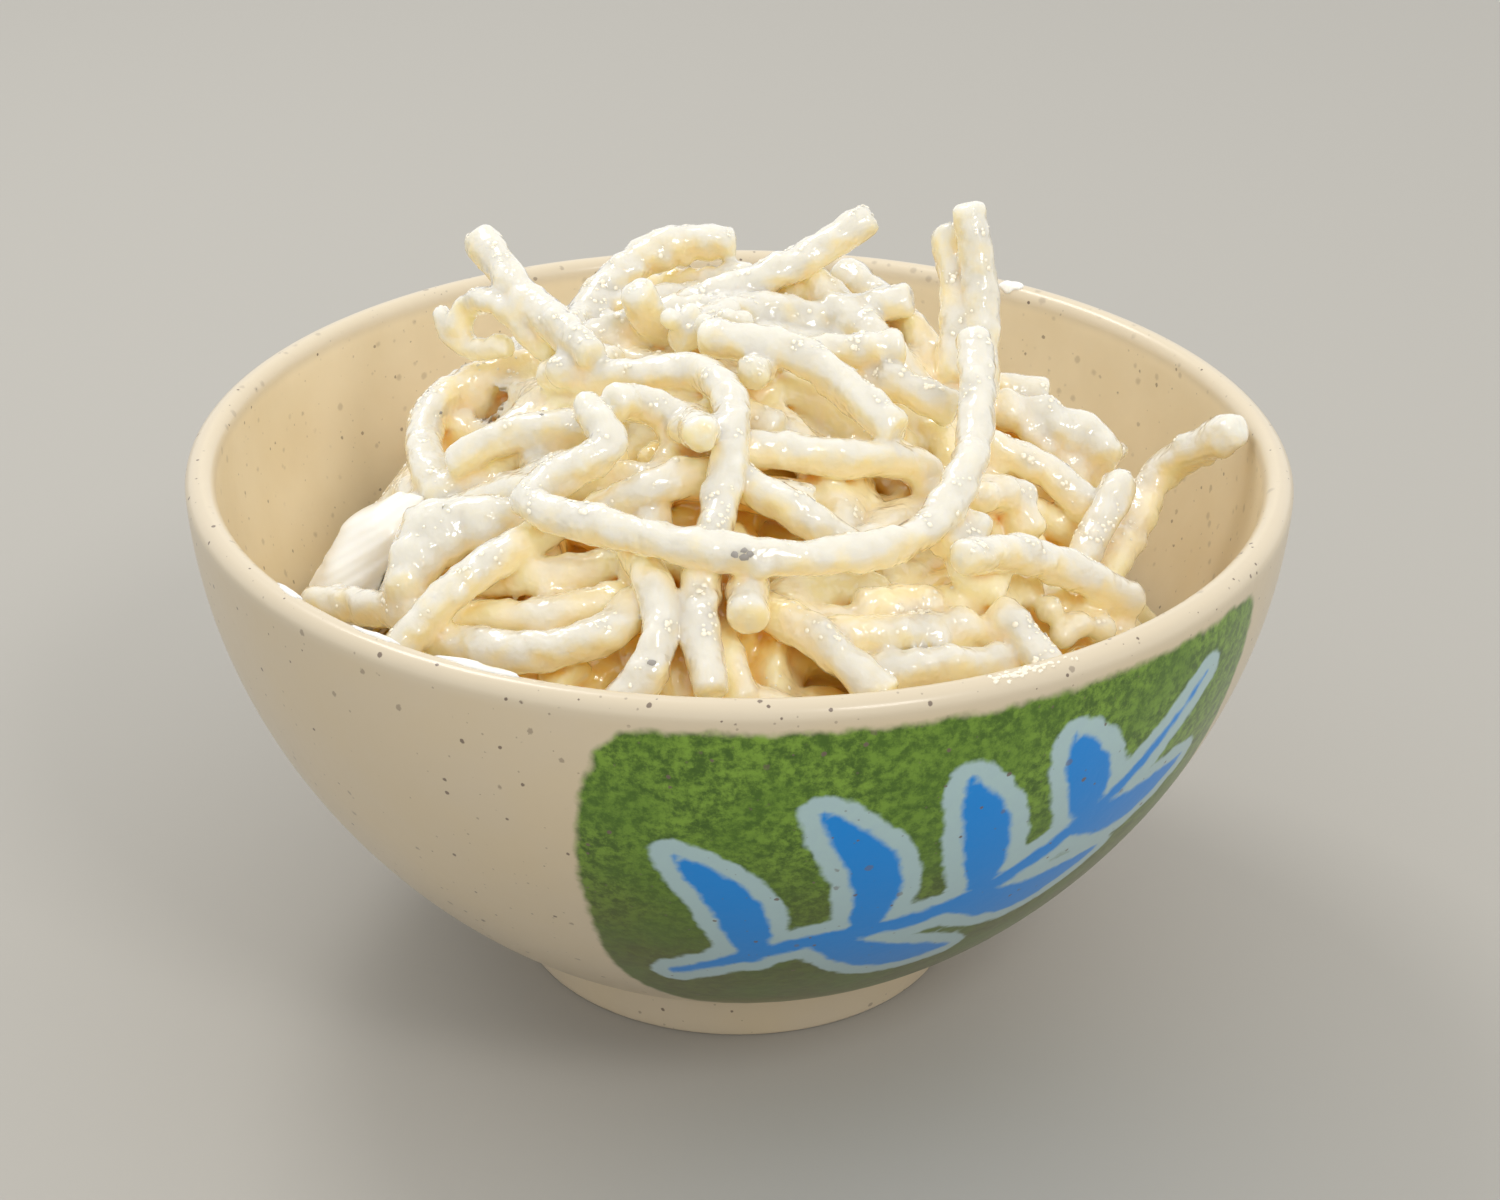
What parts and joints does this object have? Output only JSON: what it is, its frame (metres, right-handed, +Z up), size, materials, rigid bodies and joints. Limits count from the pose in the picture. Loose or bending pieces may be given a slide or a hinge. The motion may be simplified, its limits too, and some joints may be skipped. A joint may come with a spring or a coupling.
{
  "type": "pasta salad in a bowl",
  "caption": "Pasta salad of thick noodles in a white creamy dressing, heaped above the rim of a deep round stoneware bowl on a foot ring, with a soft lump of dressing at the left wall",
  "frame": {"origin": "middle of the foot ring, on the plane it stands on", "axes": "+Z up through the middle of the bowl, -Y towards the side seen in the picture, +X to the right in it"},
  "size_m": [0.127, 0.127, 0.0898],
  "materials": {
    "glazed_stoneware": "satin",
    "coated_noodle": "gloss",
    "thick_dressing": "gloss"
  },
  "bodies": {
    "root": {"bowl": "glazed_stoneware", "pasta_heap": "coated_noodle", "dressing_dollop": "thick_dressing"}
  },
  "joints": []
}
